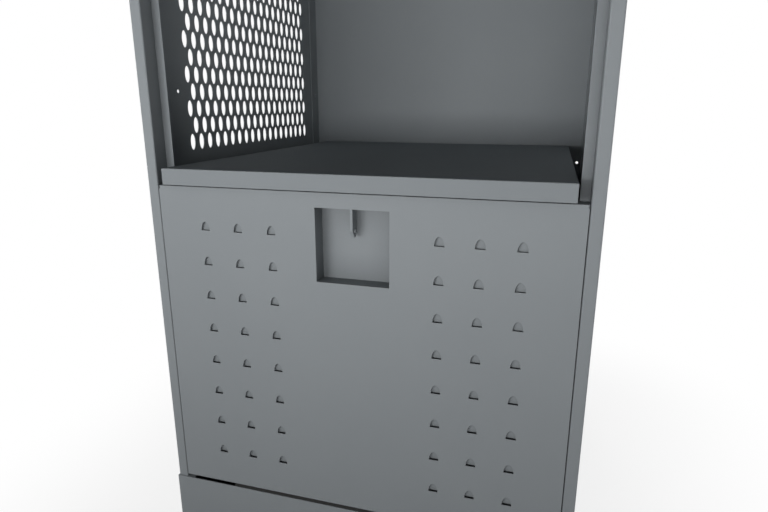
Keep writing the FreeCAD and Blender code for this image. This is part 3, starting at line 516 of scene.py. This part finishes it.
# Rubber buttons with a moulded ring and a barbed stem
BUTTON = 7.0
box = inner_box("lid_bumpers", BUTTON)
button_top = box[1, 2] + BUTTON
BUTTON_FOOT = -2.3
STEM = 2.5
ring_groove = [(2.2, 0), (2.5, -0.4), (3.1, -0.4), (3.4, 0)]
button_side = [(5.9, 0), (6.6, -0.25), (6.95, -0.8), (BUTTON, BUTTON_FOOT)]
stem_rows = [(STEM, BUTTON_FOOT), (STEM, -3.6), (3.2, -3.9), (2.9, -4.5), (1.8, -6.3)]
places = grid_places(box[:, 0], [box[:, 1].mean()], [button_top])
buttons = skin(turned(*ring_groove, *button_side, *stem_rows))
stands_for = ("lid_bumpers",)
small_piece("rubber_buttons", "cabinet", rubber, buttons, places, "up", stands_for)

# Coat rod: a tube with eased ends, and a domed plug in each end
rod_box = inner_box("coat_rod", 0)
cap_box = inner_box("rod_end_caps", 0)
rod_middle = rod_box.mean(0)
rod_half = rod_box[1, 0]
TUBE = 12.7
BORE = 11.2
EASE = 0.3
END_RING = 0.5
right_end = [(TUBE - EASE, rod_half), (TUBE, rod_half - EASE)]
left_end = [(TUBE, END_RING - rod_half), (TUBE, EASE - rod_half), (TUBE - EASE, -rod_half)]
tube_bore = [(BORE, -rod_half), (BORE, rod_half)]
tube = skin(turned(*right_end, *left_end, *tube_bore), loop=True)
places = rod_middle[None]
stands_for = ("coat_rod",)
small_piece("bright_tube", "cabinet", bright, tube, places, "right", stands_for)
CAP_FLANGE = 2.0
PLUG = 11.1
PLUG_TIP = 10.4
PLUG_LENGTH = 12
PLUG_LEAD = 1
cap_dome = [(4, 1.97), (8, 1.86), (10.6, 1.62), (12.0, 1.2), (12.6, 0.6), (TUBE, 0)]
plug_rows = [(PLUG, 0), (PLUG, PLUG_LEAD - PLUG_LENGTH), (PLUG_TIP, -PLUG_LENGTH)]
cap = skin(turned(*cap_dome, *plug_rows))
ends = {"left": cap_box[0, 0] + CAP_FLANGE, "right": cap_box[1, 0] - CAP_FLANGE}
for facing, x in ends.items():
    place = np.array([[x, rod_middle[1], rod_middle[2]]])
    stands_for = ("rod_end_caps",) if facing == "left" else ()
    small_piece(facing + "_tube_plug", "cabinet", plastic, cap, place, facing, stands_for)

# Spot-weld marks along the uprights' sides, the side panels' rear edges and the hinge rail
weld_rows = [(1.3, 0.06), (2.1, 0.2), (2.7, 0.14), (3.3, -0.05), (3.3, -0.2)]
weld = skin(turned(*weld_rows))
upright_box = inner_box("left_front_upright", 0)
side_box = inner_box("left_side_panel", 0)
back_box = inner_box("back_panel", 0)
rail_box = inner_box("hinge_rail", 0)
WELD_COUNT = 13
WELD_END_GAP = 45
UPRIGHT_WELD_INSET = 13
SIDE_WELD_INSET = 14
RAIL_WELD_HALF = 210
RAIL_WELD_COUNT = 7
RAIL_WELD_LIFT = 12
front_weld_y = upright_box[1, 1] - UPRIGHT_WELD_INSET
rear_weld_y = back_box[0, 1] + SIDE_WELD_INSET
weld_zs = np.linspace(upright_box[0, 2] + WELD_END_GAP, upright_box[1, 2] - WELD_END_GAP, WELD_COUNT)
for facing, sign in (("left", -1), ("right", 1)):
    front_row = grid_places([-sign * upright_box[0, 0]], [front_weld_y], weld_zs)
    rear_row = grid_places([-sign * side_box[0, 0]], [rear_weld_y], weld_zs)
    places = np.concatenate([front_row, rear_row])
    small_piece(facing + "_weld_marks", "cabinet", body_coat, weld, places, facing)
rail_xs = np.linspace(-RAIL_WELD_HALF, RAIL_WELD_HALF, RAIL_WELD_COUNT)
rail_row = grid_places(rail_xs, [back_box[1, 1]], [rail_box[0, 2] + RAIL_WELD_LIFT])
small_piece("rail_weld_marks", "cabinet", body_coat, weld, rail_row, "rear")


# Stage: a pale floor and a white surround

def light_path(finish):
    """1 for rays that should see a white surround: straight, mirrored or passed through."""
    rays = [finish.add("ShaderNodeLightPath", output=name) for name in
            ("Is Camera Ray", "Is Glossy Ray", "Is Transmission Ray")]
    seen = rays[0].maths("MAXIMUM", rays[0], rays[1])
    return seen.maths("MAXIMUM", seen, rays[2])


FLOOR_SIZE = 40.0
FLOOR_DROP = 0.2 * MM
FLOOR_FADE = 0.5
FLOOR_GLOW = 0.8
CONTACT = 2 * MM
base_low = np.array(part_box("kick_plate")[0])
base_high = np.array(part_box("rear_base_rail")[1])
base_middle = (base_low + base_high) / 2
base_half = (base_high - base_low) / 2


def floor_finish():
    """A pale floor: unlit under the base, with the object's shadow round it, and white further away."""
    finish = Finish("floor")
    low = screen_colour(240, 240, 240)
    high = screen_colour(246, 246, 246)
    tone = finish.mix(finish.noise(3.0, 3.0), low, high)
    shade = finish.add("ShaderNodeBsdfDiffuse", {}, {"Color": tone})
    glow = finish.add("ShaderNodeEmission", {}, {"Color": (1, 1, 1, 1), "Strength": 1.0})
    away = finish.vector_maths("SUBTRACT", finish.place, base_middle)
    away = finish.vector_maths("ABSOLUTE", away)
    away = finish.vector_maths("SUBTRACT", away, base_half)
    away = finish.vector_maths("MAXIMUM", away, (0, 0, 0))
    distance = finish.vector_maths("LENGTH", away, output="Value")
    share = FLOOR_GLOW + distance.between(0, FLOOR_FADE) * (1 - FLOOR_GLOW)
    share = share * distance.between(0, CONTACT)
    both = finish.add("ShaderNodeMixShader", {}, {0: light_path(finish) * share, 1: shade, 2: glow})
    finish.add("ShaderNodeOutputMaterial", {}, {"Surface": both})
    return finish.material


half = FLOOR_SIZE / 2
floor_mesh = bpy.data.meshes.new("floor")
corners = [(x * half, y * half, -FLOOR_DROP) for x, y in ((-1, -1), (1, -1), (1, 1), (-1, 1))]
floor_mesh.from_pydata(corners, [], [(0, 1, 2, 3)])
floor_mesh.materials.append(floor_finish())
floor = bpy.data.objects.new("floor", floor_mesh)
bpy.context.scene.collection.objects.link(floor)

AMBIENT = 0.03
world = bpy.data.worlds.new("surround")
bpy.context.scene.world = world
world.use_nodes = True


class Surround(Finish):
    """The world's node tree, with the same method for nodes."""

    def __init__(self, tree):
        self.tree = tree
        tree.nodes.clear()


surround = Surround(world.node_tree)
strength = AMBIENT + light_path(surround) * (1 - AMBIENT)
white = surround.add("ShaderNodeBackground", {}, {"Color": (1, 1, 1, 1), "Strength": strength})
surround.add("ShaderNodeOutputWorld", {}, {"Surface": white})


# Lights: soft boxes in front, at the sides, above and behind

def soft_box(name, place, target, size, power, spread=180):
    """A rectangular area lamp aimed at a point, with its beam's spread in degrees."""
    lamp = bpy.data.lights.new(name, "AREA")
    lamp.shape = "RECTANGLE"
    lamp.size, lamp.size_y = size
    lamp.energy = power
    lamp.spread = math.radians(spread)
    item = bpy.data.objects.new(name, lamp)
    item.location = place
    item.rotation_euler = (Vector(target) - Vector(place)).to_track_quat("-Z", "Y").to_euler()
    item.visible_camera = False
    bpy.context.scene.collection.objects.link(item)


FRONT_AIM = (0, -0.3, 1.1)
FRONT_SIZE = (0.74, 0.25)
FRONT_SPREAD = 120
STRIP_SPREAD = 90
UPPER_SPREAD = 50
SIDE_SIZE = (1.8, 0.5)
SIDE_POWER = 25.0
soft_box("left_front_box", (-0.68, -1.75, 0.55), FRONT_AIM, FRONT_SIZE, 5.5, FRONT_SPREAD)
soft_box("right_front_box", (0.14, -1.89, 0.55), FRONT_AIM, FRONT_SIZE, 4.0, FRONT_SPREAD)
soft_box("front_strip", (0, -1.2, 0.68), (0, -0.3, 0.68), (1.6, 0.08), 0.8, STRIP_SPREAD)
soft_box("upper_front_box", (0, -1.7, 1.72), (0, -0.3, 1.82), (1.0, 0.2), 3.0, UPPER_SPREAD)
soft_box("left_box", (-2.6, 0.6, 0.33), (-0.3, 0.1, 0.6), SIDE_SIZE, SIDE_POWER)
soft_box("right_box", (2.6, 0.6, 0.33), (0.3, 0.1, 0.6), SIDE_SIZE, SIDE_POWER)
soft_box("rear_box", (0, 2.6, 1.6), (0, 0, 0.9), (2.5, 1.6), 40.0)
soft_box("top_box", (0, 0.8, 3.4), (0, 0.1, 0.9), (2.0, 2.0), 30.0)


# Camera: fitted to the straight edges of the photograph

CAMERA_PLACE = (0.24244, -0.97894, 0.68734)
CAMERA_TURN = 16.417
CAMERA_TILT = -15.060
FOCAL_PIXELS = 564.93
IMAGE_WIDTH = 768
SENSOR = 36.0
NEAREST = 0.01

camera_data = bpy.data.cameras.new("camera")
camera_data.sensor_width = SENSOR
camera_data.lens = FOCAL_PIXELS * SENSOR / IMAGE_WIDTH
camera_data.clip_start = NEAREST
camera = bpy.data.objects.new("camera", camera_data)
camera.location = CAMERA_PLACE
camera.rotation_euler = (math.radians(90 + CAMERA_TILT), 0, math.radians(CAMERA_TURN))
bpy.context.scene.collection.objects.link(camera)
bpy.context.scene.camera = camera
bpy.context.scene.view_settings.view_transform = "Standard"
